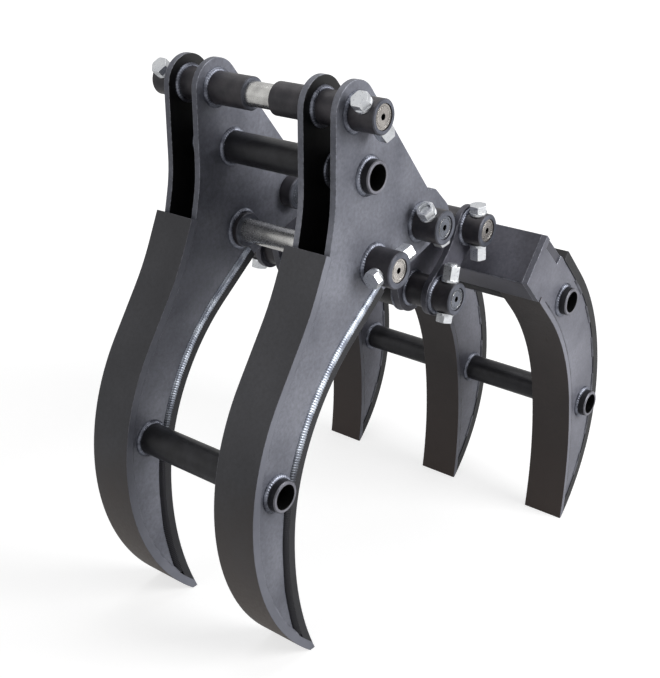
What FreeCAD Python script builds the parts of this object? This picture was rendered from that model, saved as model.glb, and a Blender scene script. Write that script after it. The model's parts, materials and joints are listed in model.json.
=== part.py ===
import FreeCAD, Part

import math
import os

V = FreeCAD.Vector

# ---------------------------------------------------------------------------
# A two-tine, three-finger log grapple for an excavator of about six tonnes.
# The front tines hang on the dipper pin and the link pin. The rear claw swings
# on two short pins in the back of the tine boxes, and the stay link ties the
# claw to a bracket on the dipper, so that curling the tines closes the claw.
#
# Working axes: X from the front tines to the rear claw, Y along every pin,
# Z up, with the grapple standing on its five tips and X = 0 at the front tips.
# The last lines move the origin to the bottom centre of the whole grapple.
# ---------------------------------------------------------------------------

# Steel sizes
PLATE = 12.0              # side plates of tines and fingers
TINE_COVER = 16.0         # wear covers on the front and rear of each tine
FACE = 12.0               # gripping face plates of the fingers
BACK = 20.0               # back plates of the fingers
BEAM = 16.0               # front and lower plates of the beam
LUG = 16.0                # the two lugs that carry the claw
LINK_PLATE = 12.0         # plates of the stay link

# Widths along Y
TINE_Y = 158.0            # centre of each tine
TINE_WIDTH = 92.0         # over the covers
TINE_BOX = 82.0           # over the two side plates
FINGER_Y = 292.0          # centre of each outer finger
FINGER_WIDTH = 92.0       # over the face plate
FINGER_BOX = 88.0         # over the two side plates
LUG_Y = 150.0             # centre of each claw lug
LINK_Y = 211.0            # centre of each stay link plate
BOSS_END = 256.0          # outer end of the bosses on the tines
LINK_BOSS_END = 260.0     # outer end of the bosses on the stay link
TUBE_STUB = 20.0          # how far a cross tube stands out of the outer plate

# Pins and bosses
PIN_D = 45.0
PIN_FIT = 0.05            # radial clearance of a pin in its bore
PIN_RECESS = 2.0          # pin end below the end of its boss
LINK_PIN_BOSS_D = 60.0
DIPPER_PIN_BOSS_D = 68.0
PIVOT_BOSS_D = 65.0
STAY_BOSS_D = 64.0
STAY_TUBE_D = 89.0        # cross tube between the claw lugs
LINK_EYE_HALF = 30.0      # half the free length of the link pin
DIPPER_BOSS_IN = 101.0    # inner end of the dipper pin bosses
PIVOT_BOSS_IN = 90.0      # inner end of the inner claw pivot bosses
STAY_EYE_HALF = 60.0      # half the free length of the stay pin
STAY_HUB_IN = 92.0        # inner end of the hubs at the foot of the stay link
HUB_GAP = 2.0             # side play between a claw hub and the tine plates
LINK_GAP = 1.0            # side play between a claw hub and the stay link
GREASE_D = 10.0           # grease port in each pin end
GREASE_DEPTH = 9.0
GROOVE_D = 35.0           # ring groove in each pin end
GROOVE_WIDTH = 2.0
GROOVE_DEPTH = 1.5
CHAMFER = 2.0

# Cross tubes
TUBE_D = 60.0
TUBE_BORE = 46.0
CLAW_TUBE_D = 58.0
CLAW_TUBE_BORE = 44.0

# Retaining bolts through boss and pin, M20
BOLT_D = 20.0
BOLT_HOLE_D = 21.0
BOLT_FLATS = 30.0
FLANGE_D = 34.0           # under the head and under the nut
FLANGE_HEIGHT = 5.0
HEAD_HEIGHT = 14.0
NUT_HEIGHT = 16.0
JAM_NUT_HEIGHT = 11.0
SEAT_D = 36.0             # spot face under head and nut
SEAT_DEPTH = 2.0
BOLT_STAND = 3.0          # bolt end past its last nut
PIVOT_BOLT_SHORT = 7.0    # bolt end inside its nut at the claw pivots
BOLT_Y = 230.0            # bolts in the tine bosses
STAY_BOLT_Y = 238.0       # bolts in the stay link bosses

# Pin and tube axes, as (x, z)
LINK_PIN = (109.0, 1014.0)
DIPPER_PIN = (171.0, 735.0)
CLAW_PIVOT = (311.0, 781.0)
STAY_FOOT = (360.0, 629.0)
STAY_TOP = (455.0, 743.0)
TOP_TUBE = (148.0, 900.0)
LOW_TUBE = (-89.0, 383.0)
CLAW_TOP_TUBE = (650.0, 565.0)
CLAW_LOW_TUBE = (794.0, 280.0)

# Where the head of each retaining bolt points, in degrees above +X
LINK_BOLT_TURN = 138
DIPPER_BOLT_TURN = 194
PIVOT_BOLT_TURN = -50
STAY_TOP_TURN = 97
STAY_FOOT_TURN = -100

# Edges of the plates, from the tips upwards, as corners (x, z, bend radius)
TINE_FRONT = [(2, 0, 0), (-294, 243, 430), (-9, 690, 500), (31, 786, 0)]
TINE_REAR = [(15, 0, 0), (-46, 130, 620), (-46, 475, 428), (200, 676, 0)]
FINGER_FRONT = [(741, 0, 0), (757, 150, 950), (695, 442, 470), (489, 643, 0)]
FINGER_BACK = [(745, 0, 0), (856, 110, 373), (856, 468, 470), (648, 671, 0)]
TINE_NECK = (60, 850, 300)            # the tine's front edge turns up to the ear
EAR_R = 53.0
TINE_SHOULDER = (336, 836, 0)         # the tine's back edge steps out to the lobe
LOBE = [(354, 838, 25), (418, 782, 30), (392, 745, 60)]

# The box beam across the fingers
BEAM_TOP = (554.0, 726.0)
BEAM_BACK = (620.0, 668.0)
BEAM_DEPTH = 75.0                     # of its lower face, along the fingers
FOOT_CUT = 30.0                       # spare length cut off flat at the tips
BEAM_NOTCH = 3.0                      # outer plates stand proud of the back plate

# Claw lugs and stay link
LUG_PIVOT_R = 48.0
LUG_STAY_R = 48.0
LUG_HOOK = [(381, 716, 25), (448, 702, 20), (489, 648, 38)]    # under the stay pin
LUG_ON_BEAM = 52.0                    # from the beam's top corner to the lug's top edge
LINK_END_R = 42.0
LINK_WAIST = 30.0                     # half the width of the stay link at its middle
LINK_WAIST_R = 150.0


# ---------------------------------------------------------------------------
# Outlines in the XZ plane. A round is (x, z, r): an arc about x, z that turns
# left where r is positive and right where it is negative. r = 0 is a corner.
# ---------------------------------------------------------------------------

def rounds(corners):
    """Corners with bend radii as rounds that touch the lines between corners."""
    result = [corners[0]]
    for before, (x, z, radius), after in zip(corners, corners[1:], corners[2:]):
        come = math.atan2(z - before[1], x - before[0])
        go = math.atan2(after[1] - z, after[0] - x)
        turn = (go - come + math.pi) % (2 * math.pi) - math.pi
        side = math.copysign(1, turn)
        reach = radius / math.cos(turn / 2)
        inwards = come + turn / 2 + side * math.pi / 2
        result.append((x + reach * math.cos(inwards), z + reach * math.sin(inwards), side * radius))
    return result + [corners[-1]]


def run(a, b):
    """The straight line that leaves round a and meets round b, as two points."""
    across, up = b[0] - a[0], b[1] - a[1]
    normal = math.atan2(up, across) + math.acos((b[2] - a[2]) / math.hypot(across, up))
    nx, nz = math.cos(normal), math.sin(normal)
    return (a[0] - nx * a[2], a[1] - nz * a[2]), (b[0] - nx * b[2], b[1] - nz * b[2])


def line(start, end):
    return Part.makeLine(V(start[0], 0, start[1]), V(end[0], 0, end[1]))


def arc(item, start, end):
    """The arc of one round from start to end."""
    x, z, r = item
    first = math.atan2(start[1] - z, start[0] - x)
    last = math.atan2(end[1] - z, end[0] - x)
    turn = (last - first) % (2 * math.pi)
    if r < 0:
        turn -= 2 * math.pi
    middle = first + turn / 2
    through = (x + abs(r) * math.cos(middle), z + abs(r) * math.sin(middle))
    return Part.Arc(*[V(px, 0, pz) for px, pz in (start, through, end)]).toShape()


def edges_through(items, runs):
    """The runs, with an arc on each round where one run ends and the next starts."""
    edges = []
    for item, before, after in zip(items, runs, runs[1:]):
        if item[2]:
            edges.append(arc(item, before[1], after[0]))
        edges.append(line(*after))
    return edges


def closed_face(items):
    """The face inside a belt round all the rounds, in turn."""
    runs = [run(a, b) for a, b in zip(items[-1:] + items[:-1], items)]
    return Part.Face(Part.Wire(edges_through(items, runs + runs[:1])))


def moved_left(path, distance):
    return [(x, z, r - distance) for x, z, r in path]


def backwards(path):
    return [(x, z, -r) for x, z, r in reversed(path)]


def band(path, left):
    """The strip between a path and its copy moved left, with square ends."""
    near = [run(a, b) for a, b in zip(path, path[1:])]
    far_path = moved_left(path, left)
    far = [run(a, b) for a, b in zip(far_path, far_path[1:])]
    edges = [line(*near[0])] + edges_through(path[1:-1], near)
    edges += [line(near[-1][1], far[-1][1])]
    edges += list(reversed([line(*far[0])] + edges_through(far_path[1:-1], far)))
    edges += [line(far[0][0], near[0][0])]
    return Part.Face(Part.Wire(edges))


def from_below(path):
    """The path started below the floor, so that its strip can be cut off flat."""
    return [(*towards(path[0][:2], run(path[0], path[1])[1], -FOOT_CUT), 0)] + path[1:]


def end_of(path, left):
    """The last point of a path's copy moved left."""
    far = moved_left(path, left)
    return run(far[-2], far[-1])[1]


def towards(start, end, distance):
    """The point that lies distance along the way from start to end."""
    share = distance / math.dist(start, end)
    return tuple(s + (e - s) * share for s, e in zip(start, end))


# ---------------------------------------------------------------------------
# Solids along Y
# ---------------------------------------------------------------------------

def slab(face, y_low, y_high):
    body = face.copy()
    body.translate(V(0, y_low, 0))
    return body.extrude(V(0, y_high - y_low, 0))


def plate(face, y, thickness):
    return slab(face, y - thickness / 2, y + thickness / 2)


def rod(axis, diameter, y_low, y_high):
    return Part.makeCylinder(diameter / 2, y_high - y_low, V(axis[0], y_low, axis[1]), V(0, 1, 0))


def ends_of(body, diameter):
    return [e for e in body.Edges if abs(e.Length - math.pi * diameter) < 0.01]


def tube(axis, outer, bore, y_low, y_high):
    """A tube with both outer rims chamfered."""
    body = rod(axis, outer, y_low, y_high)
    body = body.makeChamfer(CHAMFER, ends_of(body, outer))
    return body.cut(rod(axis, bore, y_low - 1, y_high + 1))


def on_side(side, near, far):
    """The span from near to far out along Y on one side, low end first."""
    return (near, far) if side > 0 else (-far, -near)


def drilled(body, holes):
    """A body with a hole along Y for each (axis, diameter)."""
    for axis, diameter in holes:
        body = body.cut(rod(axis, diameter, -500, 500))
    return body


# ---------------------------------------------------------------------------
# Pins and their retaining bolts
# ---------------------------------------------------------------------------

class PinBolt:
    """An M20 flange bolt through a boss and its pin, with its nuts opposite the head."""

    def __init__(self, axis, y, degrees, boss_d, jam_nut=JAM_NUT_HEIGHT, past_nut=BOLT_STAND):
        self.centre = V(axis[0], y, axis[1])
        self.way = V(math.cos(math.radians(degrees)), 0, math.sin(math.radians(degrees)))
        self.seat = boss_d / 2 - SEAT_DEPTH
        self.nut_top = self.seat + FLANGE_HEIGHT + NUT_HEIGHT
        self.jam_nut = jam_nut
        self.past_nut = past_nut

    def bar(self, sign, start, length, diameter):
        way = self.way * sign
        return Part.makeCylinder(diameter / 2, length, self.centre + way * start, way)

    def hexagon(self, sign, start, height):
        """A hexagon with its outer corners rounded off."""
        way = self.way * sign
        up = way.cross(V(0, 1, 0))
        base = self.centre + way * start
        corner = BOLT_FLATS / math.sqrt(3)
        turns = [math.radians(60 * k) for k in range(7)]
        points = [base + V(0, 1, 0) * (corner * math.cos(t)) + up * (corner * math.sin(t)) for t in turns]
        prism = Part.Face(Part.makePolygon(points)).extrude(way * height)
        tip = (BOLT_FLATS / 2 + corner) / 2
        return prism.common(Part.makeCone(tip + height, tip, height, base, way))

    def flanged(self, sign, height):
        """A hexagon on a round flange on its seat."""
        flange = self.bar(sign, self.seat, FLANGE_HEIGHT, FLANGE_D)
        return flange.fuse(self.hexagon(sign, self.seat + FLANGE_HEIGHT, height))

    def drill(self):
        """The hole through the pin."""
        return self.bar(1, -80, 160, BOLT_HOLE_D)

    def seats(self):
        """The hole through the boss with its two spot faces."""
        return self.drill().fuse([self.bar(sign, self.seat, 40, SEAT_D) for sign in (1, -1)])

    def bolt(self):
        shank_end = self.nut_top + self.jam_nut + self.past_nut
        shank = self.bar(-1, -self.seat, self.seat + shank_end, BOLT_D)
        return self.flanged(1, HEAD_HEIGHT).fuse(shank).removeSplitter()

    def nut(self):
        body = self.flanged(-1, NUT_HEIGHT)
        if self.jam_nut:
            body = body.fuse(self.hexagon(-1, self.nut_top, self.jam_nut))
        return body.removeSplitter().cut(self.drill())


def pair_of_bolts(axis, y, degrees, boss_d, *nut_and_end):
    return {side: PinBolt(axis, side * y, degrees, boss_d, *nut_and_end) for side in (1, -1)}


def pin(axis, y_low, y_high, outer_ends, bolts):
    """A pin with a ring groove and a grease port in each outer end."""
    body = rod(axis, PIN_D, y_low, y_high)
    body = body.makeChamfer(1.0, ends_of(body, PIN_D))
    for end in outer_ends:
        face_y = y_high if end > 0 else y_low
        low, high = sorted((face_y, face_y - end * GROOVE_DEPTH))
        groove = rod(axis, GROOVE_D + GROOVE_WIDTH, low, high)
        groove = groove.cut(rod(axis, GROOVE_D - GROOVE_WIDTH, low, high))
        low, high = sorted((face_y, face_y - end * GREASE_DEPTH))
        body = body.cut(groove).cut(rod(axis, GREASE_D, low, high))
    for item in bolts:
        body = body.cut(item.drill())
    return body


link_bolts = pair_of_bolts(LINK_PIN, BOLT_Y, LINK_BOLT_TURN, LINK_PIN_BOSS_D)
dipper_bolts = pair_of_bolts(DIPPER_PIN, BOLT_Y, DIPPER_BOLT_TURN, DIPPER_PIN_BOSS_D)
pivot_bolts = pair_of_bolts(CLAW_PIVOT, BOLT_Y, PIVOT_BOLT_TURN, PIVOT_BOSS_D, 0, -PIVOT_BOLT_SHORT)
stay_top_bolts = pair_of_bolts(STAY_TOP, STAY_BOLT_Y, STAY_TOP_TURN, STAY_BOSS_D)
stay_foot_bolts = pair_of_bolts(STAY_FOOT, STAY_BOLT_Y, STAY_FOOT_TURN, STAY_BOSS_D)

SIDES = {"left": 1, "right": -1}
BORE = PIN_D + 2 * PIN_FIT
parts = {}


# ---------------------------------------------------------------------------
# Front tines: two boxes of side plates and covers on two cross tubes
# ---------------------------------------------------------------------------

tine_front = rounds(TINE_FRONT)
tine_rear = rounds(TINE_REAR)
cover_top = (*end_of(tine_front, -TINE_COVER), 0)
ear = (*LINK_PIN, -EAR_R)
neck_and_ear = rounds([cover_top, TINE_NECK, (LINK_PIN[0] - EAR_R, LINK_PIN[1], 0)])[1:-1] + [ear]
lobe = rounds([TINE_SHOULDER, *LOBE, TINE_REAR[-1]])[:-1]
tine_outline = closed_face(tine_front + [cover_top] + neck_and_ear + lobe + backwards(tine_rear))

front_band = band(from_below(tine_front), -TINE_COVER)
rear_band = band(tine_rear, TINE_COVER)
front_cover = front_band.common(tine_outline)
rear_cover = rear_band.common(tine_outline).cut(front_band)
tine_holes = [(LINK_PIN, LINK_PIN_BOSS_D), (DIPPER_PIN, DIPPER_PIN_BOSS_D),
              (CLAW_PIVOT, PIVOT_BOSS_D), (TOP_TUBE, TUBE_D), (LOW_TUBE, TUBE_D)]
tine_plate = tine_outline.cut([front_band, rear_band])

plate_offset = {"outer": (TINE_BOX - PLATE) / 2, "inner": (PLATE - TINE_BOX) / 2}
box_low = TINE_Y - TINE_BOX / 2 + PLATE
box_high = TINE_Y + TINE_BOX / 2 - PLATE
for name, side in SIDES.items():
    for place, offset in plate_offset.items():
        body = plate(tine_plate, side * (TINE_Y + offset), PLATE)
        parts[f"tine_{name}_{place}_plate"] = drilled(body, tine_holes)
    parts[f"tine_{name}_front_cover"] = plate(front_cover, side * TINE_Y, TINE_WIDTH)
    parts[f"tine_{name}_rear_cover"] = plate(rear_cover, side * TINE_Y, TINE_WIDTH)

    boss = tube(LINK_PIN, LINK_PIN_BOSS_D, BORE, *on_side(side, LINK_EYE_HALF, BOSS_END))
    parts[f"link_pin_boss_{name}"] = boss.cut(link_bolts[side].seats())
    boss = tube(DIPPER_PIN, DIPPER_PIN_BOSS_D, BORE, *on_side(side, DIPPER_BOSS_IN, BOSS_END))
    parts[f"dipper_pin_boss_{name}"] = boss.cut(dipper_bolts[side].seats())
    boss = tube(CLAW_PIVOT, PIVOT_BOSS_D, BORE, *on_side(side, box_high, BOSS_END))
    parts[f"claw_pivot_outer_boss_{name}"] = boss.cut(pivot_bolts[side].seats())
    boss = tube(CLAW_PIVOT, PIVOT_BOSS_D, BORE, *on_side(side, PIVOT_BOSS_IN, box_low))
    parts[f"claw_pivot_inner_boss_{name}"] = boss
    span = on_side(side, PIVOT_BOSS_IN + PIN_RECESS, BOSS_END - PIN_RECESS)
    parts[f"claw_pivot_pin_{name}"] = pin(CLAW_PIVOT, *span, [side], [pivot_bolts[side]])

stub_end = TINE_Y + TINE_BOX / 2 + TUBE_STUB
parts["top_cross_tube"] = tube(TOP_TUBE, TUBE_D, TUBE_BORE, -stub_end, stub_end)
parts["lower_cross_tube"] = tube(LOW_TUBE, TUBE_D, TUBE_BORE, -stub_end, stub_end)
pin_end = BOSS_END - PIN_RECESS
parts["link_pin"] = pin(LINK_PIN, -pin_end, pin_end, [1, -1], link_bolts.values())
parts["dipper_pin"] = pin(DIPPER_PIN, -pin_end, pin_end, [1, -1], dipper_bolts.values())
frame_bolts = [*link_bolts.values(), *dipper_bolts.values(), *pivot_bolts.values()]
parts["tine_pin_bolts"] = Part.makeCompound([item.bolt() for item in frame_bolts])
parts["tine_pin_nuts"] = Part.makeCompound([item.nut() for item in frame_bolts])


# ---------------------------------------------------------------------------
# Rear claw: three box fingers on a box beam and two cross tubes
# ---------------------------------------------------------------------------

finger_front = rounds(FINGER_FRONT)
finger_back = rounds(FINGER_BACK)
beam_low = FINGER_FRONT[-1][:2]
beam_heel = towards(*reversed(run(finger_front[-2], finger_front[-1])), BEAM_DEPTH)
back_top = end_of(finger_back, BACK)
beam_corners = [(*beam_low, 0), (*BEAM_TOP, 0), (*BEAM_BACK, 0), (*beam_heel, 0)]
beam_section = closed_face(beam_corners)

finger_outline = closed_face(
    finger_front + [(*BEAM_TOP, 0), (*BEAM_BACK, 0), (*back_top, 0), finger_back[-1]]
    + backwards(finger_back[:-1]))
back_band = band(finger_back, BACK)
face_line = [*finger_front[:-1], (*beam_heel, 0)]
face_band = band(from_below(face_line), -FACE)
face_plate = face_band.common(finger_outline).cut(beam_section)
back_plate = back_band.common(finger_outline).cut(face_band)


def beam_wall(start, end, thickness, laid_before):
    """One wall of the beam, butted against the walls laid before it."""
    wall = band([(*start, 0), (*end, 0)], -thickness).common(beam_section)
    return wall.cut(laid_before) if laid_before else wall


beam_front = beam_wall(beam_low, BEAM_TOP, BEAM, [])
beam_back = beam_wall(BEAM_TOP, BEAM_BACK, BACK, [beam_front])
beam_lower = beam_wall(beam_heel, beam_low, BEAM, [beam_front])
beam_inner = beam_wall(BEAM_BACK, beam_heel, PLATE, [beam_back, beam_lower])

side_plate = finger_outline.cut([back_band, face_band])
inner_plate = side_plate.cut(beam_section)
outer_plate = side_plate.cut(beam_back)
finger_holes = [(CLAW_TOP_TUBE, CLAW_TUBE_D), (CLAW_LOW_TUBE, CLAW_TUBE_D)]

half_beam = FINGER_Y + FINGER_BOX / 2 - PLATE
parts["beam_front_plate"] = plate(beam_front, 0, 2 * half_beam)
parts["beam_lower_plate"] = plate(beam_lower, 0, 2 * half_beam)
parts["beam_inner_plate"] = plate(beam_inner, 0, 2 * half_beam)
parts["beam_back_plate"] = plate(beam_back, 0, 2 * (half_beam + PLATE - BEAM_NOTCH))

fingers = {"left": FINGER_Y, "middle": 0.0, "right": -FINGER_Y}
plate_shift = (FINGER_BOX - PLATE) / 2
for name, centre in fingers.items():
    for place, shift in (("left", plate_shift), ("right", -plate_shift)):
        outermost = name == place
        body = plate(outer_plate if outermost else inner_plate, centre + shift, PLATE)
        parts[f"finger_{name}_{place}_plate"] = drilled(body, finger_holes)
    parts[f"finger_{name}_face"] = plate(face_plate, centre, FINGER_WIDTH)
    parts[f"finger_{name}_back"] = plate(back_plate, centre, FINGER_WIDTH)

stub_end = FINGER_Y + FINGER_BOX / 2 + TUBE_STUB
parts["claw_top_tube"] = tube(CLAW_TOP_TUBE, CLAW_TUBE_D, CLAW_TUBE_BORE, -stub_end, stub_end)
parts["claw_lower_tube"] = tube(CLAW_LOW_TUBE, CLAW_TUBE_D, CLAW_TUBE_BORE, -stub_end, stub_end)

# The lugs reach from the beam round the stay foot to the pivots in the tines.
hook_start = towards(BEAM_TOP, beam_low, LUG_ON_BEAM)
lug_outline = closed_face([
    (*CLAW_PIVOT, -LUG_PIVOT_R), *rounds([CLAW_PIVOT, *LUG_HOOK, hook_start])[1:-1],
    (*hook_start, 0), (*beam_low, 0), (*STAY_FOOT, -LUG_STAY_R)])
for name, side in SIDES.items():
    body = plate(lug_outline, side * LUG_Y, LUG)
    parts[f"claw_lug_{name}"] = drilled(body, [(CLAW_PIVOT, PIVOT_BOSS_D), (STAY_FOOT, STAY_BOSS_D)])
    span = on_side(side, box_low + HUB_GAP, box_high - HUB_GAP)
    parts[f"claw_pivot_hub_{name}"] = tube(CLAW_PIVOT, PIVOT_BOSS_D, BORE, *span)
    span = on_side(side, STAY_HUB_IN, LINK_Y - LINK_PLATE / 2 - LINK_GAP)
    parts[f"stay_foot_hub_{name}"] = tube(STAY_FOOT, STAY_BOSS_D, BORE, *span)
lug_in = LUG_Y - LUG / 2
parts["stay_cross_tube"] = tube(STAY_FOOT, STAY_TUBE_D, STAY_BOSS_D, -lug_in, lug_in)


# ---------------------------------------------------------------------------
# Stay link: two plates, each on its own foot pin, joined by the stay pin
# ---------------------------------------------------------------------------

def dog_bone(low, high, end_r, waist, waist_r):
    """A plate round two centres with a waist of half width between them."""
    length = math.dist(low, high)
    middle = ((low[0] + high[0]) / 2, (low[1] + high[1]) / 2)
    ux, uz = (high[0] - low[0]) / length, (high[1] - low[1]) / length
    reach = waist_r + waist
    left = (middle[0] - uz * reach, middle[1] + ux * reach, waist_r)
    right = (middle[0] + uz * reach, middle[1] - ux * reach, waist_r)
    return closed_face([(*low, -end_r), left, (*high, -end_r), right])


link_plate = dog_bone(STAY_FOOT, STAY_TOP, LINK_END_R, LINK_WAIST, LINK_WAIST_R)
link_in = LINK_Y - LINK_PLATE / 2
link_pin_end = LINK_BOSS_END - PIN_RECESS
for name, side in SIDES.items():
    body = plate(link_plate, side * LINK_Y, LINK_PLATE)
    parts[f"stay_plate_{name}"] = drilled(body, [(STAY_FOOT, STAY_BOSS_D), (STAY_TOP, STAY_BOSS_D)])
    boss = tube(STAY_FOOT, STAY_BOSS_D, BORE, *on_side(side, link_in, LINK_BOSS_END))
    parts[f"stay_foot_boss_{name}"] = boss.cut(stay_foot_bolts[side].seats())
    boss = tube(STAY_TOP, STAY_BOSS_D, BORE, *on_side(side, STAY_EYE_HALF, LINK_BOSS_END))
    parts[f"stay_top_boss_{name}"] = boss.cut(stay_top_bolts[side].seats())
    span = on_side(side, STAY_HUB_IN + PIN_RECESS, link_pin_end)
    parts[f"stay_foot_pin_{name}"] = pin(STAY_FOOT, *span, [side], [stay_foot_bolts[side]])
parts["stay_pin"] = pin(STAY_TOP, -link_pin_end, link_pin_end, [1, -1], stay_top_bolts.values())
stay_bolts = [*stay_top_bolts.values(), *stay_foot_bolts.values()]
parts["stay_pin_bolts"] = Part.makeCompound([item.bolt() for item in stay_bolts])
parts["stay_pin_nuts"] = Part.makeCompound([item.nut() for item in stay_bolts])


# ---------------------------------------------------------------------------
# Origin at the bottom centre, then one file for each node
# ---------------------------------------------------------------------------

whole = Part.makeCompound(list(parts.values())).BoundBox
home = V(-whole.Center.x, 0, -whole.ZMin)
os.makedirs("parts", exist_ok=True)
for name, shape in parts.items():
    shape.translate(home)
    shape.exportStep(f"parts/{name}.step")
    print(f"{name:32s} solids {len(shape.Solids)}  volume {shape.Volume / 1000:9.1f} cm3")
print(len(parts), "nodes, size", whole.XLength, whole.YLength, whole.ZLength, "moved by", home.x, home.z)
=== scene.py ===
import json
import math

import bpy
import numpy as np
from mathutils import Matrix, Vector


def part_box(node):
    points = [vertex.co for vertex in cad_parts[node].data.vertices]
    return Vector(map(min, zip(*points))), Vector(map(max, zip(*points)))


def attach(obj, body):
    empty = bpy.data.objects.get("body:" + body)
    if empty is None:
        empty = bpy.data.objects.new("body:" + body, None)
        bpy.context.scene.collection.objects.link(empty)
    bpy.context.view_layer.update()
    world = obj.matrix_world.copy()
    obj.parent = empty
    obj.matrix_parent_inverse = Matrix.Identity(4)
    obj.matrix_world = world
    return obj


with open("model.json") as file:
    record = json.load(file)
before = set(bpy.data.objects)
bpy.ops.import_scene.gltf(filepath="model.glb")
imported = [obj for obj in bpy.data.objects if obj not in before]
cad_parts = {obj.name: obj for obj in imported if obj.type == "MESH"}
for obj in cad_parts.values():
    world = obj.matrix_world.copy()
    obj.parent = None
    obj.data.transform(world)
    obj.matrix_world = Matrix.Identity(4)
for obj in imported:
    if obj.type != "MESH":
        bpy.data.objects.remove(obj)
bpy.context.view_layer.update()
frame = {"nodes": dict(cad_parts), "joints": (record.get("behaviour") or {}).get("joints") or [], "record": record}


# The place to stand: a log grapple on a pale floor, seen from its front right
# corner and from above its top, with a long lens so that the tines keep their
# real proportions.

EYE = (-1.7396, -1.3425, 1.4000)       # metres
YAW, PITCH, ROLL = np.radians((38.445, -22.753, 1.069))
SENSOR_HEIGHT, FOCAL_LENGTH = 36.0, 61.06              # millimetres


def standing(right, up, back, place):
    """The matrix of an object at a place, whose own axes point right, up and back."""
    return Matrix((*np.stack((right, up, back, place), 1).tolist(), (0, 0, 0, 1)))


ahead = np.array((math.cos(YAW) * math.cos(PITCH), math.sin(YAW) * math.cos(PITCH), math.sin(PITCH)))
level = np.array((math.sin(YAW), -math.cos(YAW), 0.0))
upright = np.cross(level, ahead)
across = math.cos(ROLL) * level + math.sin(ROLL) * upright
upwards = math.cos(ROLL) * upright - math.sin(ROLL) * level

lens = bpy.data.cameras.new("camera")
lens.sensor_fit = "VERTICAL"
lens.sensor_height = SENSOR_HEIGHT
lens.lens = FOCAL_LENGTH
camera = bpy.data.objects.new("camera", lens)
camera.matrix_world = standing(across, upwards, -ahead, EYE)
bpy.context.scene.collection.objects.link(camera)
bpy.context.scene.camera = camera
bpy.context.scene.view_settings.view_transform = "Standard"


# Soft studio light: one broad lamp to the right, one overhead, and a weak one
# on the left that keeps the front covers dark but readable.

LAMPS = {                              # place, aim, width, height, watts
    "lamp_right": ((0.9, -3.0, 1.7), (0.1, 0.0, 0.5), 2.0, 1.8, 96.0),
    "lamp_top": ((0.2, 0.2, 3.2), (0.1, 0.0, 0.4), 2.0, 2.0, 26.0),
    "lamp_left": ((-3.2, 0.6, 1.5), (0.0, 0.0, 0.5), 2.0, 2.0, 12.0),
}
for name, (place, aim, width, height, watts) in LAMPS.items():
    lamp = bpy.data.lights.new(name, "AREA")
    lamp.shape = "RECTANGLE"
    lamp.size, lamp.size_y, lamp.energy = width, height, watts
    back = np.array(place) - np.array(aim)
    back /= np.linalg.norm(back)
    side = np.cross((0.0, 0.0, 1.0), back) + (1e-6, 0.0, 0.0)      # never zero, even right overhead
    side /= np.linalg.norm(side)
    holder = bpy.data.objects.new(name, lamp)
    holder.matrix_world = standing(side, np.cross(back, side), back, place)
    bpy.context.scene.collection.objects.link(holder)


# The room is white where it is seen, gives a low even light, and lies between
# the two in the reflections of shiny steel.

ROOM_LEVEL = 0.24                      # light that the room gives, against 1 for white
GLOSSY_SHARE = 0.6                     # how far reflections see it lifted from there to white
WHITE = (1.0, 1.0, 1.0, 1.0)


def linear(code):
    """An sRGB hex colour as linear red, green, blue and alpha."""
    value = np.array([int(code[k:k + 2], 16) for k in (1, 3, 5)]) / 255
    return (*np.where(value <= 0.04045, value / 12.92, ((value + 0.055) / 1.055) ** 2.4), 1.0)


def add(tree, kind, sockets=None, **settings):
    """Adds a node with its settings, and gives each named input a value or a link."""
    item = tree.nodes.new(kind)
    for key, value in settings.items():
        setattr(item, key, value)
    for key, value in (sockets or {}).items():
        if isinstance(value, bpy.types.NodeSocket):
            tree.links.new(value, item.inputs[key])
        else:
            item.inputs[key].default_value = value
    return item


world = bpy.data.worlds.new("room")
bpy.context.scene.world = world
world.use_nodes = True
tree = world.node_tree
tree.nodes.clear()
ray = add(tree, "ShaderNodeLightPath").outputs
seen = add(tree, "ShaderNodeMath", {0: ray["Is Camera Ray"], 1: ray["Is Transmission Ray"]},
           operation="MAXIMUM")
gloss = add(tree, "ShaderNodeMath", {0: ray["Is Glossy Ray"], 1: GLOSSY_SHARE}, operation="MULTIPLY")
white = add(tree, "ShaderNodeMath", {0: seen.outputs[0], 1: gloss.outputs[0]}, operation="MAXIMUM")
strength = add(tree, "ShaderNodeMapRange", {
    "Value": white.outputs[0], "To Min": ROOM_LEVEL, "To Max": 1.0})
room = add(tree, "ShaderNodeBackground", {"Color": WHITE, "Strength": strength.outputs[0]})
add(tree, "ShaderNodeOutputWorld", {"Surface": room.outputs[0]})


# The floor is a smooth white sheet. It is lifted to white where it is seen, a
# little less near the grapple, and still takes the soft shadow under the tips.

FLOOR_HALF = 30.0
FLOOR_DROP = 0.0005                    # keeps the sheet just clear of the tips
NEAR, FAR = 0.9, 3.5                   # distances between which the lift grows
NEAR_LIFT, FAR_LIFT, GLOSSY_LIFT = 0.70, 1.0, 0.4


def blank(name):
    """A new material, and its node tree with no nodes in it."""
    material = bpy.data.materials.new(name)
    material.use_nodes = True
    material.node_tree.nodes.clear()
    return material, material.node_tree


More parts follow.
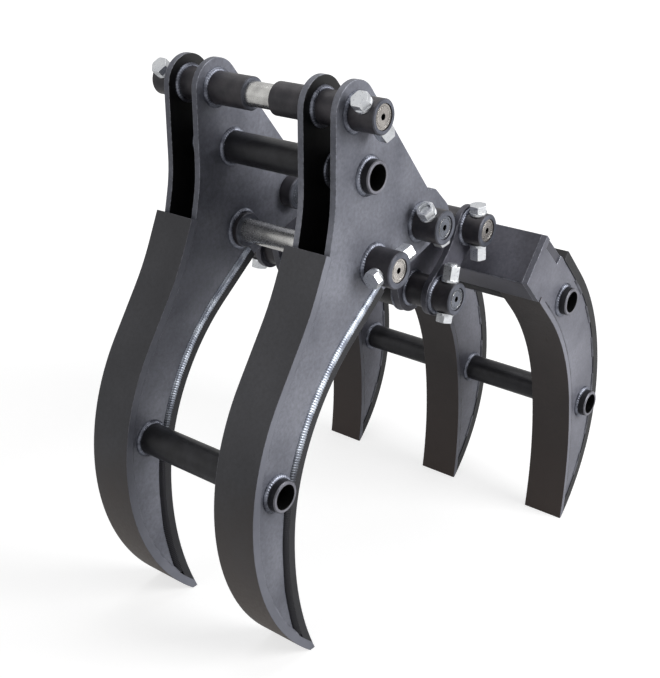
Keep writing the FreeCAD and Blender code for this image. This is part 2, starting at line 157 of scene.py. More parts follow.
mesh = bpy.data.meshes.new("floor")
mesh.from_pydata([(x * FLOOR_HALF, y * FLOOR_HALF, 0) for x, y in ((-1, -1), (1, -1), (1, 1), (-1, 1))],
                 [], [(0, 1, 2, 3)])
floor = bpy.data.objects.new("floor", mesh)
floor.location.z = -FLOOR_DROP
bpy.context.scene.collection.objects.link(floor)
paper, tree = blank("matt_white_paper")
ray = add(tree, "ShaderNodeLightPath").outputs
place = add(tree, "ShaderNodeTexCoord").outputs["Object"]
away = add(tree, "ShaderNodeVectorMath", {0: place}, operation="LENGTH").outputs["Value"]
lift = add(tree, "ShaderNodeMapRange", {
    "Value": away, "From Min": NEAR, "From Max": FAR, "To Min": NEAR_LIFT, "To Max": FAR_LIFT})
seen = add(tree, "ShaderNodeMath", {0: ray["Is Glossy Ray"], 1: GLOSSY_LIFT, 2: ray["Is Camera Ray"]},
           operation="MULTIPLY_ADD")
lift = add(tree, "ShaderNodeMath", {0: seen.outputs[0], 1: lift.outputs[0]}, operation="MULTIPLY")
sheet = add(tree, "ShaderNodeBsdfPrincipled", {
    "Base Color": linear("#bcbcbc"), "Roughness": 0.9, "Specular IOR Level": 0.1,
    "Emission Color": WHITE, "Emission Strength": lift.outputs[0]})
add(tree, "ShaderNodeOutputMaterial", {"Surface": sheet.outputs[0]})
mesh.materials.append(paper)


# Plates of the front tines: 12 mm hot-rolled plate, flame cut, welded into
# boxes and sprayed with a satin gunmetal enamel that has metal flake in it.

def enamel(name, pale, deep, rubbed, roughness=0.42, metallic=0.3, low=None, box_shade=None, flank=None):
    """Satin enamel over hot-rolled plate. Two tones drift over a hand's width, mill scale
    mottles them every 7 mm, fine scuffs lie every 2 mm, and edges are rubbed to steel. Low is a
    colour and the heights where it starts and is full, box shade the middle and half width in Y
    of a closed box, whose inside gets a near-black painted shade, and flank the two tones of the faces along Y."""
    material, tree = blank(name)
    place = add(tree, "ShaderNodeTexCoord").outputs["Object"]
    cloud = add(tree, "ShaderNodeTexNoise", {
        "Vector": place, "Scale": 5.0, "Detail": 3.0, "Roughness": 0.55}).outputs["Fac"]
    scale = add(tree, "ShaderNodeTexNoise", {
        "Vector": place, "Scale": 140.0, "Detail": 5.0, "Roughness": 0.65}).outputs["Fac"]
    share = add(tree, "ShaderNodeMapRange", {"Value": cloud, "From Min": 0.34, "From Max": 0.66})
    tone = add(tree, "ShaderNodeMix", {0: share.outputs[0], 6: linear(deep), 7: linear(pale)},
               data_type="RGBA")
    spots = add(tree, "ShaderNodeMapRange", {
        "Value": scale, "From Min": 0.3, "From Max": 0.7, "To Min": 0.78, "To Max": 1.16})
    tone = add(tree, "ShaderNodeMix", {0: 1.0, 6: tone.outputs[2], 7: spots.outputs[0]},
               data_type="RGBA", blend_type="MULTIPLY")
    if low:
        brown, start, full = low       # earth rubbed into the paint towards the tips
        average = 0.12                 # what the noise adds to the height on the whole
        height = add(tree, "ShaderNodeSeparateXYZ", {0: place}).outputs["Z"]
        uneven = add(tree, "ShaderNodeMath", {0: cloud, 1: 0.25, 2: height}, operation="MULTIPLY_ADD")
        earth = add(tree, "ShaderNodeMapRange", {
            "Value": uneven.outputs[0], "From Min": start + average, "From Max": full + average,
            "To Min": 0.0, "To Max": 1.0})
        tone = add(tree, "ShaderNodeMix", {0: earth.outputs[0], 6: tone.outputs[2], 7: linear(brown)},
                   data_type="RGBA")
    if flank:                          # these faces are level with the plates and share their coat
        facing = add(tree, "ShaderNodeNewGeometry").outputs["True Normal"]
        level = add(tree, "ShaderNodeSeparateXYZ", {0: facing}).outputs["Y"]
        level = add(tree, "ShaderNodeMath", {0: level}, operation="ABSOLUTE").outputs[0]
        level = add(tree, "ShaderNodeMath", {0: level, 1: 0.9}, operation="GREATER_THAN").outputs[0]
        coat = add(tree, "ShaderNodeMix", {
            0: share.outputs[0], 6: linear(flank[0]), 7: linear(flank[1])}, data_type="RGBA")
        tone = add(tree, "ShaderNodeMix", {0: level, 6: tone.outputs[2], 7: coat.outputs[2]},
                   data_type="RGBA")
    if box_shade:
        middle, half = box_shade            # painted shade: the inside of the boxes is made near black
        side = add(tree, "ShaderNodeSeparateXYZ", {0: place}).outputs["Y"]
        side = add(tree, "ShaderNodeMath", {0: side}, operation="ABSOLUTE").outputs[0]
        inside = add(tree, "ShaderNodeMath", {0: side, 1: middle, 2: half}, operation="COMPARE")
        tone = add(tree, "ShaderNodeMix", {
            0: inside.outputs[0], 6: tone.outputs[2], 7: linear("#101012")}, data_type="RGBA")
    streaks = add(tree, "ShaderNodeMapping", {
        "Vector": place, "Scale": (60.0, 420.0, 60.0), "Rotation": (0.3, 0.5, 0.2)})
    scuffs = add(tree, "ShaderNodeTexNoise", {"Vector": streaks.outputs[0], "Scale": 1.0, "Detail": 3.0})
    scuff = add(tree, "ShaderNodeMapRange", {
        "Value": scuffs.outputs["Fac"], "From Min": 0.62, "From Max": 0.8})
    rounded = add(tree, "ShaderNodeBevel", {"Radius": 0.0022}, samples=6).outputs["Normal"]
    facing = add(tree, "ShaderNodeNewGeometry").outputs["Normal"]
    bend = add(tree, "ShaderNodeVectorMath", {0: rounded, 1: facing}, operation="DOT_PRODUCT")
    edge = add(tree, "ShaderNodeMapRange", {
        "Value": bend.outputs["Value"], "From Min": 0.985, "From Max": 0.80})
    chips = add(tree, "ShaderNodeMapRange", {
        "Value": scale, "From Min": 0.40, "From Max": 0.58, "To Min": 0.15, "To Max": 0.9})
    wear = add(tree, "ShaderNodeMath", {0: edge.outputs[0], 1: chips.outputs[0]}, operation="MULTIPLY")
    colour = add(tree, "ShaderNodeMix", {0: wear.outputs[0], 6: tone.outputs[2], 7: linear(rubbed)},
                 data_type="RGBA")
    metal = add(tree, "ShaderNodeMapRange", {"Value": wear.outputs[0], "To Min": metallic, "To Max": 0.85})
    matt = add(tree, "ShaderNodeMapRange", {
        "Value": scale, "From Min": 0.25, "From Max": 0.75,
        "To Min": roughness - 0.07, "To Max": roughness + 0.09})
    matt = add(tree, "ShaderNodeMath", {0: scuff.outputs[0], 1: 0.12, 2: matt.outputs[0]},
               operation="MULTIPLY_ADD")
    relief = add(tree, "ShaderNodeMath", {0: scuff.outputs[0], 1: -0.5, 2: scale},
                 operation="MULTIPLY_ADD")
    bump = add(tree, "ShaderNodeBump", {
        "Strength": 0.22, "Distance": 0.0006, "Height": relief.outputs[0], "Normal": rounded})
    shader = add(tree, "ShaderNodeBsdfPrincipled", {
        "Base Color": colour.outputs[2], "Metallic": metal.outputs[0], "Roughness": matt.outputs[0],
        "IOR": 1.5, "Normal": bump.outputs[0]})
    add(tree, "ShaderNodeOutputMaterial", {"Surface": shader.outputs[0]})
    return material


def finish_nodes(material, *starts):
    """Gives the CAD pieces whose names start with one of these words their material."""
    for name, node in frame["nodes"].items():
        if name.startswith(starts):
            for slot in node.material_slots:
                slot.material = material


SHADE_MARGIN = 0.0003                   # carries the painted shade onto the plates' inner faces
box_low, box_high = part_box("tine_left_inner_plate")[1].y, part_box("tine_left_outer_plate")[0].y
gunmetal = enamel("satin_gunmetal_enamel_on_rolled_plate", "#83858f", "#5d5f69", "#b3b6c0",
                  box_shade=((box_low + box_high) / 2, (box_high - box_low) / 2 + SHADE_MARGIN))
finish_nodes(gunmetal, "tine_left_outer_plate", "tine_left_inner_plate",
             "tine_right_outer_plate", "tine_right_inner_plate")


# Covers of the front tines: 16 mm wear plate rolled to the curve. The front
# ones are dark with edges as pale as the side plates, and rubbed brown by earth
# at the tips; the rear ones are nearly black.

cover_enamel = enamel("dark_satin_enamel_on_wear_plate", "#434347", "#343438", "#85868e",
                      roughness=0.46, metallic=0.2, low=("#4d4138", 0.42, 0.02),
                      flank=("#62646e", "#7f818b"))
finish_nodes(cover_enamel, "tine_left_front", "tine_right_front")
rear_enamel = enamel("near_black_satin_enamel_on_rear_cover", "#28282c", "#1b1b1f", "#6d6e76",
                     metallic=0.2)
finish_nodes(rear_enamel, "tine_left_rear", "tine_right_rear")


# Seams of the front tines: one long weld down each edge of each cover. The
# front ones are ground flat and painted; the rear ones are wide and left
# bright, and darker low down.

RIPPLE = 0.0046                        # spacing of the ripples in a weld
CUTS = 5                               # rows of points to a ripple
joints = {joint["name"]: joint for joint in frame["joints"]}
pivot = np.array(joints["claw_hinge"]["pos_m"])
PIVOT_FROM_TIPS = 0.311
ORIGIN = pivot[0] - PIVOT_FROM_TIPS    # the place along X that the outlines are measured from


def bent(corners, offset):
    """Even points along straight runs joined by arcs that touch them, and the unit normals to
    their left. Corners are (x, z, bend radius) in mm, and offset moves the line to its left."""
    corners = np.array(corners, float) / 1000
    dense = [corners[0, :2]]
    for before, (x, z, radius), after in zip(corners, corners[1:], corners[2:]):
        come, go = np.array((x, z)) - before[:2], after[:2] - np.array((x, z))
        first, last = np.arctan2(come[1], come[0]), np.arctan2(go[1], go[0])
        turn = (last - first + np.pi) % (2 * np.pi) - np.pi
        side = np.sign(turn)
        middle = first + turn / 2 + side * np.pi / 2
        centre = np.array((x, z)) + radius / np.cos(turn / 2) * np.array((np.cos(middle), np.sin(middle)))
        angle = first - side * np.pi / 2 + np.linspace(0, turn, 120)
        dense.extend(centre + radius * np.stack((np.cos(angle), np.sin(angle)), 1))
    dense = np.array([*dense, corners[-1, :2]])
    way = np.gradient(dense, axis=0)
    way /= np.linalg.norm(way, axis=1)[:, None]
    dense = dense + offset / 1000 * np.stack((-way[:, 1], way[:, 0]), 1)
    gone = np.concatenate(([0], np.cumsum(np.linalg.norm(np.diff(dense, axis=0), axis=1))))
    even = np.arange(0, gone[-1], RIPPLE / CUTS)
    points = np.stack([np.interp(even, gone, dense[:, k]) for k in (0, 1)], 1)
    way = np.gradient(points, axis=0)
    way /= np.linalg.norm(way, axis=1)[:, None]
    return points, np.stack((-way[:, 1], way[:, 0]), 1)


def bead(points, leg_a, leg_b, closed, seed):
    """A fillet weld along a corner line. Across it, a quarter of an ellipse bulges between its
    two legs; along it, the size swells at every ripple and wanders slowly."""
    draw = np.random.default_rng(seed)
    count = len(points)
    along = np.arange(count) / CUTS
    wander = sum(np.sin(along * rate + draw.uniform(0, 6.3)) for rate in (0.31, 0.17, 0.11)) / 3
    size = 0.93 + 0.13 * np.abs(np.sin(np.pi * along)) + 0.07 * wander
    if closed:
        size = 0.96 + 0.13 * np.abs(np.sin(np.pi * np.round(count / CUTS) * np.arange(count) / count))
    overlap = 0.10                     # how far the bead's edges sink into the faces, in radians
    angle = np.linspace(-overlap, np.pi / 2 + overlap, 9)
    arch = points[:, None] + size[:, None, None] * (
        np.cos(angle)[None, :, None] * leg_a[:, None] + np.sin(angle)[None, :, None] * leg_b[:, None])
    root = points[:, None] - 0.12 * (leg_a + leg_b)[:, None]
    grid = np.concatenate((arch, root), 1)
    rows, cols = grid.shape[:2]
    i, j = np.meshgrid(np.arange(rows if closed else rows - 1), np.arange(cols), indexing="ij")
    i2, j2 = (i + 1) % rows, (j + 1) % cols
    quads = np.stack((i * cols + j, i * cols + j2, i2 * cols + j2, i2 * cols + j), -1).reshape(-1, 4)
    caps = [] if closed else [list(range(cols))[::-1], list(range((rows - 1) * cols, rows * cols))]
    outwards = np.einsum("ij,ij->i", np.cross(leg_a, leg_b), np.gradient(points, axis=0)).sum()
    if outwards < 0:
        quads = quads[:, ::-1]
        caps = [cap[::-1] for cap in caps]
    return grid.reshape(-1, 3), quads, caps


def piece(name, surfaces, material, body):
    """One object from several closed surfaces, riding on its body."""
    start, points, faces = 0, [], []
    for verts, quads, caps in surfaces:
        points.append(verts)
        faces.extend((quads + start).tolist())
        faces.extend([index + start for index in cap] for cap in caps)
        start += len(verts)
    mesh = bpy.data.meshes.new(name)
    mesh.from_pydata(np.concatenate(points).tolist(), [], faces)
    mesh.shade_smooth()
    mesh.materials.append(material)
    made = bpy.data.objects.new(name, mesh)
    bpy.context.scene.collection.objects.link(made)
    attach(made, body)


def side_seam(line, y, out, legs, above):
    """The part above a height of the corner between a plate's face and the strip it butts
    against, with the two legs of a weld there: along the strip's normals, and along Y."""
    points, normals = line
    keep = points[:, 1] > above
    points, normals = points[keep], normals[keep]
    flat = np.stack((points[:, 0] + ORIGIN, np.full(len(points), y), points[:, 1]), 1)
    leg_a = np.stack((normals[:, 0], np.zeros(len(points)), normals[:, 1]), 1) * legs[0]
    leg_b = np.tile((0.0, out * legs[1], 0.0), (len(points), 1))
    return flat, leg_a, leg_b


def weld_steel(name, pale, deep, metallic=0.75, darker_below=None):
    """Weld metal under a thin coat: two tones in blotches, fine grit, and a height below which
    it turns dark."""
    material, tree = blank(name)
    place = add(tree, "ShaderNodeTexCoord").outputs["Object"]
    blotch = add(tree, "ShaderNodeTexNoise", {"Vector": place, "Scale": 45.0, "Detail": 4.0})
    grit = add(tree, "ShaderNodeTexNoise", {"Vector": place, "Scale": 600.0, "Detail": 2.0})
    share = add(tree, "ShaderNodeMapRange", {
        "Value": blotch.outputs["Fac"], "From Min": 0.38, "From Max": 0.62})
    colour = add(tree, "ShaderNodeMix", {0: share.outputs[0], 6: linear(deep), 7: linear(pale)},
                 data_type="RGBA")
    if darker_below:
        fade = 0.06                    # metres above and below, over which it darkens
        height = add(tree, "ShaderNodeSeparateXYZ", {0: place}).outputs["Z"]
        bare = add(tree, "ShaderNodeMapRange", {
            "Value": height, "From Min": darker_below - fade, "From Max": darker_below + fade})
        colour = add(tree, "ShaderNodeMix", {
            0: bare.outputs[0], 6: linear("#26262a"), 7: colour.outputs[2]}, data_type="RGBA")
    matt = add(tree, "ShaderNodeMapRange", {"Value": blotch.outputs["Fac"], "To Min": 0.26, "To Max": 0.48})
    bump = add(tree, "ShaderNodeBump", {
        "Strength": 0.25, "Distance": 0.0004, "Height": grit.outputs["Fac"]})
    shader = add(tree, "ShaderNodeBsdfPrincipled", {
        "Base Color": colour.outputs[2], "Metallic": metallic, "Roughness": matt.outputs[0],
        "Normal": bump.outputs[0]})
    add(tree, "ShaderNodeOutputMaterial", {"Surface": shader.outputs[0]})
    return material


ring_weld = weld_steel("arc_weld_steel_under_a_thin_coat", "#8f93a0", "#4b4d57", metallic=0.65)
bright_weld = weld_steel("bright_arc_weld_steel_dulled_low_down", "#cdd4df", "#8f95a3", darker_below=0.44)
ground_weld = weld_steel("ground_and_painted_arc_weld", "#7f818b", "#62646e", metallic=0.3)
painted_weld = weld_steel("painted_arc_weld_steel", "#63646d", "#3e3f46", metallic=0.45)

TINE_FRONT = ((2, 0, 0), (-294, 243, 430), (-9, 690, 500), (31, 786, 0))       # mm
TINE_REAR = ((15, 0, 0), (-46, 130, 620), (-46, 475, 428), (200, 676, 0))
COVER = 16
TIP_CLEARANCE = 0.012                  # the seams stop this far above the tips
SEAM_LEGS = {"front": (0.0040, 0.0046), "rear": (0.0115, 0.0050)}
front_line = bent(TINE_FRONT, -COVER)
front_line = (front_line[0], -front_line[1])
rear_line = bent(TINE_REAR, COVER)
for side in ("left", "right"):
    surfaces = {"front": [], "rear": []}
    for place in ("outer", "inner"):
        low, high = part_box(f"tine_{side}_{place}_plate")
        out = np.sign(low.y) * (1 if place == "outer" else -1)
        face = high.y if out > 0 else low.y
        for seed, (edge, line) in enumerate((("front", front_line), ("rear", rear_line)), start=3):
            seam = side_seam(line, face, out, SEAM_LEGS[edge], low.z + TIP_CLEARANCE)
            surfaces[edge].append(bead(*seam, closed=False, seed=seed))
    piece(f"tine_{side}_front_seams", surfaces["front"], ground_weld, "tines")
    piece(f"tine_{side}_rear_seams", surfaces["rear"], bright_weld, "tines")


# Cross tubes and bosses: thick tube turned at the ends, pushed through the
# plates and welded all round. A near-black enamel covers them, thinner on the
# end faces, which keep the rings of the facing tool.

def turned(name, axis, wall, face, face_metal, roughness=0.38, hollow=0.0, grain=0.16):
    """A turned piece on an axis along Y. Its end faces show the rings of the facing tool, its
    wall the same rings run round it, and inside the radius called hollow it is black."""
    material, tree = blank(name)
    pitch = 0.0017                     # metres between the tool's rings
    place = add(tree, "ShaderNodeTexCoord").outputs["Object"]
    centred = add(tree, "ShaderNodeMapping", {"Vector": place, "Location": (-axis[0], 0.0, -axis[2])})
    flat = add(tree, "ShaderNodeVectorMath", {0: centred.outputs[0], 1: (1.0, 0.0, 1.0)},
               operation="MULTIPLY").outputs[0]
    radius = add(tree, "ShaderNodeVectorMath", {0: flat}, operation="LENGTH").outputs["Value"]
    along = add(tree, "ShaderNodeSeparateXYZ", {0: place}).outputs["Y"]
    facing = add(tree, "ShaderNodeNewGeometry").outputs["Normal"]
    outwards = add(tree, "ShaderNodeSeparateXYZ", {0: facing}).outputs["Y"]
    endwise = add(tree, "ShaderNodeMath", {0: outwards}, operation="ABSOLUTE").outputs[0]
    is_end = add(tree, "ShaderNodeMapRange", {"Value": endwise, "From Min": 0.5, "From Max": 0.9}).outputs[0]
    cut = add(tree, "ShaderNodeMix", {0: is_end, 2: along, 3: radius}).outputs[0]
    rings = add(tree, "ShaderNodeMath", {0: cut, 1: 2 * math.pi / pitch}, operation="MULTIPLY").outputs[0]
    rings = add(tree, "ShaderNodeMath", {0: rings}, operation="SINE").outputs[0]
    cloud = add(tree, "ShaderNodeTexNoise", {"Vector": place, "Scale": 38.0, "Detail": 4.0}).outputs["Fac"]
    grit = add(tree, "ShaderNodeTexNoise", {"Vector": place, "Scale": 260.0, "Detail": 3.0}).outputs["Fac"]
    patch = add(tree, "ShaderNodeMapRange", {"Value": cloud, "From Min": 0.35, "From Max": 0.65}).outputs[0]
    body, ends = (add(tree, "ShaderNodeMix", {0: patch, 6: linear(deep), 7: linear(pale)},
                      data_type="RGBA").outputs[2] for deep, pale in (wall, face))
    colour = add(tree, "ShaderNodeMix", {0: is_end, 6: body, 7: ends}, data_type="RGBA").outputs[2]
    metal = add(tree, "ShaderNodeMapRange", {
        "Value": is_end, "To Min": face_metal[0], "To Max": face_metal[1]}).outputs[0]
    if hollow:
        margin = 0.0006                # carries the black onto the bore's own wall
        inside = add(tree, "ShaderNodeMath", {0: radius, 1: hollow + margin},
                     operation="LESS_THAN").outputs[0]
        colour = add(tree, "ShaderNodeMix", {0: inside, 6: colour, 7: linear("#0b0b0c")},
                     data_type="RGBA").outputs[2]
        bare = add(tree, "ShaderNodeMath", {0: 1.0, 1: inside}, operation="SUBTRACT").outputs[0]
        metal = add(tree, "ShaderNodeMath", {0: metal, 1: bare}, operation="MULTIPLY").outputs[0]
    matt = add(tree, "ShaderNodeMapRange", {
        "Value": grit, "From Min": 0.3, "From Max": 0.7,
        "To Min": roughness - 0.375 * grain, "To Max": roughness + 0.625 * grain}).outputs[0]
    rounded = add(tree, "ShaderNodeBevel", {"Radius": 0.0012}, samples=6).outputs["Normal"]
    relief = add(tree, "ShaderNodeMath", {0: rings, 1: 0.35, 2: grit}, operation="MULTIPLY_ADD").outputs[0]
    bump = add(tree, "ShaderNodeBump", {
        "Strength": grain, "Distance": 0.0004, "Height": relief, "Normal": rounded})
    shader = add(tree, "ShaderNodeBsdfPrincipled", {
        "Base Color": colour, "Metallic": metal, "Roughness": matt, "Normal": bump.outputs[0]})
    add(tree, "ShaderNodeOutputMaterial", {"Surface": shader.outputs[0]})
    return material


def middle_of(name):
    """The centre of a CAD piece's box."""
    low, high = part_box(name)
    return np.array(low + high) / 2


TUBE_BORES = {"top_cross_tube": 0.0230, "lower_cross_tube": 0.0230,
              "claw_top_tube": 0.0220, "claw_lower_tube": 0.0220}
top_tube, low_tube, claw_top, claw_low = (middle_of(name) for name in TUBE_BORES)
for name, bore in TUBE_BORES.items():
    finish_nodes(turned(f"black_enamel_on_turned_{name}", middle_of(name), ("#1a1a1d", "#29292d"),
                        ("#6f6f78", "#8c8c95"), (0.30, 0.6), hollow=bore), name)

mounts = {mount["name"]: np.array(mount["pos_m"]) for mount in frame["record"]["mounts"]}
link_axis, dipper_axis, stay_axis = (mounts[f"{name}_pin_seat"] for name in ("link", "dipper", "stay"))
foot_axis = np.array(joints["stay_hinge"]["pos_m"])
BOSSES = {"link_pin_boss": link_axis, "dipper_pin_boss": dipper_axis, "claw_pivot_outer_boss": pivot,
          "claw_pivot_inner_boss": pivot, "claw_pivot_hub": pivot, "stay_foot_boss": foot_axis,
          "stay_foot_hub": foot_axis, "stay_top_boss": stay_axis}
boss_finish = {}                       # one finish to an axis, shared by the bosses on it
for name, axis in BOSSES.items():
    key = tuple(axis.round(4))
    if key not in boss_finish:
        boss_finish[key] = turned(f"gunmetal_enamel_on_turned_{name}", axis, ("#2c2b30", "#413e42"),
                                  ("#484b54", "#676a75"), (0.3, 0.5))
    finish_nodes(boss_finish[key], name)
finish_nodes(turned("gunmetal_enamel_on_stay_cross_tube", foot_axis, ("#151417", "#201e20"),
                    ("#3c3c42", "#4a4a51"), (0.3, 0.5)), "stay_cross_tube")

RING_LEGS = (0.0062, 0.0055)           # of a weld, along the plate and along the tube
TUBE_RADIUS, LINK_BOSS_RADIUS, DIPPER_BOSS_RADIUS, PIVOT_BOSS_RADIUS = 0.0300, 0.0300, 0.0340, 0.0325


def ring(axis, radius, y, out, legs, seed):
    """A fillet weld round a tube where it leaves a plate: the same bead on a circle."""
    count = int(round(2 * math.pi * radius / RIPPLE)) * CUTS
    angle = np.arange(count) * 2 * np.pi / count
    away = np.stack((np.cos(angle), np.zeros(count), np.sin(angle)), 1)
    points = np.array((axis[0], y, axis[2])) + away * radius
    return bead(points, away * legs[0], np.tile((0.0, out * legs[1], 0.0), (count, 1)), closed=True, seed=seed)


ALL_FACES = (("outer", 1), ("outer", -1), ("inner", -1), ("inner", 1))         # 1 faces away from y = 0
TINE_RINGS = (
    (link_axis, LINK_BOSS_RADIUS, ALL_FACES),
    (top_tube, TUBE_RADIUS, ALL_FACES),
    (dipper_axis, DIPPER_BOSS_RADIUS, ALL_FACES),
    (pivot, PIVOT_BOSS_RADIUS, (("outer", 1), ("inner", 1))),
    (low_tube, TUBE_RADIUS, ALL_FACES),
)
for side in ("left", "right"):
    surfaces = []
    for seed, (axis, radius, faces) in enumerate(TINE_RINGS):
        for place, outwards in faces:
            low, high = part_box(f"tine_{side}_{place}_plate")
            out = np.sign(low.y) * outwards
            surfaces.append(ring(axis, radius, high.y if out > 0 else low.y, out, RING_LEGS, seed))
    piece(f"tine_{side}_ring_welds", surfaces, ring_weld, "tines")


# Pins: 45 mm hardened bars, ground bright, with a ring groove and a grease
# port in each end. The claw pivots and stay feet were sprayed with the bosses.

GREASE_BORE = 0.0052
BARE_END, SPRAYED_END = ("#9d9894", "#c4bfba"), ("#63676f", "#7d818c")
PINS = {"link_pin": (link_axis, BARE_END), "dipper_pin": (dipper_axis, BARE_END),
        "claw_pivot_pin": (pivot, SPRAYED_END), "stay_foot_pin": (foot_axis, SPRAYED_END),
        "stay_pin": (stay_axis, BARE_END)}
for name, (axis, face) in PINS.items():
    steel = turned(f"ground_steel_{name}", axis, ("#b9b8b6", "#dad9d6"), face, (0.95, 0.7),
                   roughness=0.26, hollow=GREASE_BORE, grain=0.04)
    for node in (name, f"{name}_left", f"{name}_right"):
        if node in frame["nodes"]:
            frame["nodes"][node].material_slots[0].material = steel


# Retaining bolts and nuts: M20, bright zinc plated, the flats slightly
# scuffed by the socket.

def zinc(name):
    """Bright zinc plate: bluish white metal with a soft crystalline bloom and dulled corners."""
    material, tree = blank(name)
    place = add(tree, "ShaderNodeTexCoord").outputs["Object"]
    bloom = add(tree, "ShaderNodeTexVoronoi", {"Vector": place, "Scale": 220.0}).outputs["Distance"]
    cloud = add(tree, "ShaderNodeTexNoise", {"Vector": place, "Scale": 90.0, "Detail": 3.0}).outputs["Fac"]
    colour = add(tree, "ShaderNodeMix", {0: cloud, 6: linear("#c4c8ce"), 7: linear("#f0f1f2")},
                 data_type="RGBA").outputs[2]
    matt = add(tree, "ShaderNodeMapRange", {"Value": bloom, "To Min": 0.24, "To Max": 0.42}).outputs[0]
    rounded = add(tree, "ShaderNodeBevel", {"Radius": 0.0010}, samples=6).outputs["Normal"]
    bump = add(tree, "ShaderNodeBump", {
        "Strength": 0.15, "Distance": 0.0003, "Height": cloud, "Normal": rounded})
    shader = add(tree, "ShaderNodeBsdfPrincipled", {
        "Base Color": colour, "Metallic": 0.9, "Roughness": matt, "Normal": bump.outputs[0]})
    add(tree, "ShaderNodeOutputMaterial", {"Surface": shader.outputs[0]})
    return material


finish_nodes(zinc("bright_zinc_plated_steel"),
             "tine_pin_bolts", "tine_pin_nuts", "stay_pin_bolts", "stay_pin_nuts")


# Rear claw: three boxed fingers on a box beam, all 12 mm plate with 20 mm back
# strips. The gripping faces are darker and browner, the strips nearly black.

claw_enamel = enamel("satin_gunmetal_enamel_on_claw_plate", "#81828c", "#5b5c66", "#a9acb6")
finish_nodes(claw_enamel, "finger_left_left", "finger_left_right", "finger_middle_left",
             "finger_middle_right", "finger_right_left", "finger_right_right")
beam_enamel = enamel("dark_gunmetal_enamel_on_beam_and_lugs", "#63636d", "#3c3c44", "#9da0aa")
finish_nodes(beam_enamel, "beam_", "claw_lug")
face_enamel = enamel("brownish_satin_enamel_on_gripping_face", "#393231", "#292424", "#6c6664",
                     roughness=0.5, metallic=0.1, low=("#403632", 0.3, 0.0),
                     flank=("#62636d", "#7f808a"))
finish_nodes(face_enamel, "finger_left_face", "finger_middle_face", "finger_right_face")
back_enamel = enamel("near_black_satin_enamel_on_back_strip", "#202023", "#141416", "#5d5e66",
                     roughness=0.44)
finish_nodes(back_enamel, "finger_left_back", "finger_middle_back", "finger_right_back")


# Seams of the claw: a thin painted weld down each gripping face, stitch welds
# along the back strips, and rings round the tubes and hubs.

FINGER_FRONT = ((741, 0, 0), (757, 150, 950), (695, 442, 470), (489, 643, 0))  # mm
FINGER_BACK = ((745, 0, 0), (856, 110, 373), (856, 468, 470), (648, 671, 0))
FACE, BACK = 12, 20
STITCH, GAP = 0.055, 0.045
FACE_LEGS, STITCH_LEGS = (0.0045, 0.0020), (0.0050, 0.0020)
FACE_START, STITCH_START, BEAM_CLEARANCE = 0.02, 0.05, 0.01
face_line = bent(FINGER_FRONT, -FACE)
under_beam = face_line[0][:, 1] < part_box("beam_lower_plate")[0].z - BEAM_CLEARANCE
face_line = (face_line[0][under_beam], -face_line[1][under_beam])
back_line = bent(FINGER_BACK, BACK)
FINGERS, SIDES = ("left", "middle", "right"), {"left": 1, "right": -1}
for finger in FINGERS:
    surfaces = []
    for plate, out in SIDES.items():
        low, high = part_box(f"finger_{finger}_{plate}_plate")
        y = high.y if out > 0 else low.y
        surfaces.append(bead(*side_seam(face_line, y, out, FACE_LEGS, low.z + FACE_START),
                             closed=False, seed=5))
        seam = side_seam(back_line, y, out, STITCH_LEGS, low.z + STITCH_START)
        step, length = int((STITCH + GAP) / RIPPLE * CUTS), int(STITCH / RIPPLE * CUTS)
        for first in range(0, len(seam[0]) - length, step):
            stitch = (values[first:first + length] for values in seam)
            surfaces.append(bead(*stitch, closed=False, seed=first))
    piece(f"finger_{finger}_seams", surfaces, painted_weld, "claw")

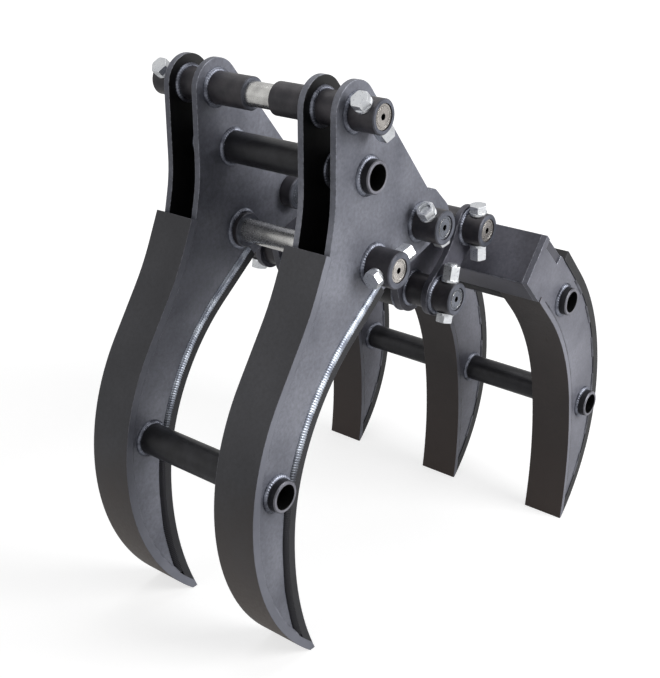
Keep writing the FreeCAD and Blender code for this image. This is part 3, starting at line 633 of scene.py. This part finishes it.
CLAW_TUBE_RADIUS, FOOT_HUB_RADIUS, CROSS_TUBE_RADIUS = 0.0290, 0.0320, 0.0445
LUG_LEGS = (0.0050, 0.0045)
surfaces = []
for seed, axis in enumerate((claw_top, claw_low)):
    for finger in FINGERS:
        for plate, out in SIDES.items():
            low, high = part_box(f"finger_{finger}_{plate}_plate")
            surfaces.append(ring(axis, CLAW_TUBE_RADIUS, high.y if out > 0 else low.y, out,
                                 RING_LEGS, seed))
for side in ("left", "right"):
    low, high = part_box(f"claw_lug_{side}")
    for axis, hub in ((pivot, PIVOT_BOSS_RADIUS), (foot_axis, FOOT_HUB_RADIUS)):
        for y, out in ((low.y, -1), (high.y, 1)):
            on_tube = axis is foot_axis and out * low.y < 0        # the cross tube leaves here
            surfaces.append(ring(axis, CROSS_TUBE_RADIUS if on_tube else hub, y, out, LUG_LEGS, seed=4))
piece("claw_ring_welds", surfaces, ring_weld, "claw")


# Lugs of the claw: each is welded down both its faces to the front plate of
# the beam, from where its edge meets the plate to the plate's foot.

BEAM_TOP, BEAM_FOOT = np.array((0.554, 0.726)), np.array((0.489, 0.643))
LUG_LENGTH = 0.052                     # of the front plate, above the weld
LUG_SEAM_LEGS = (0.007, 0.007)
run = (BEAM_FOOT - BEAM_TOP) / np.linalg.norm(BEAM_FOOT - BEAM_TOP)
start = BEAM_TOP + run * LUG_LENGTH
count = int(np.linalg.norm(BEAM_FOOT - start) / RIPPLE * CUTS)
lug_line = (start + (BEAM_FOOT - start) * np.linspace(0, 1, count)[:, None],
            np.tile((run[1], -run[0]), (count, 1)))
surfaces = []
for side in ("left", "right"):
    low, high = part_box(f"claw_lug_{side}")
    for y, out in ((low.y, -1), (high.y, 1)):
        surfaces.append(bead(*side_seam(lug_line, y, out, LUG_SEAM_LEGS, above=0.0), closed=False, seed=8))
piece("claw_lug_welds", surfaces, ring_weld, "claw")


# Stay link: two dog-bone plates, each welded to its foot boss and top boss.

STAY_BOSS_RADIUS, STAY_LEGS = 0.0320, (0.0055, 0.0050)
link_enamel = enamel("satin_gunmetal_enamel_on_stay_plate", "#5a5a64", "#393941", "#8c8e98")
finish_nodes(link_enamel, "stay_plate_left", "stay_plate_right")
surfaces = []
for side in ("left", "right"):
    low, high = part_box(f"stay_plate_{side}")
    away = np.sign(low.y)
    outer, inner = (high.y, low.y) if away > 0 else (low.y, high.y)
    for seed, (axis, y, out) in enumerate(((foot_axis, outer, away), (stay_axis, outer, away),
                                           (stay_axis, inner, -away))):
        surfaces.append(ring(axis, STAY_BOSS_RADIUS, y, out, STAY_LEGS, seed))
piece("stay_ring_welds", surfaces, ring_weld, "stay_link")
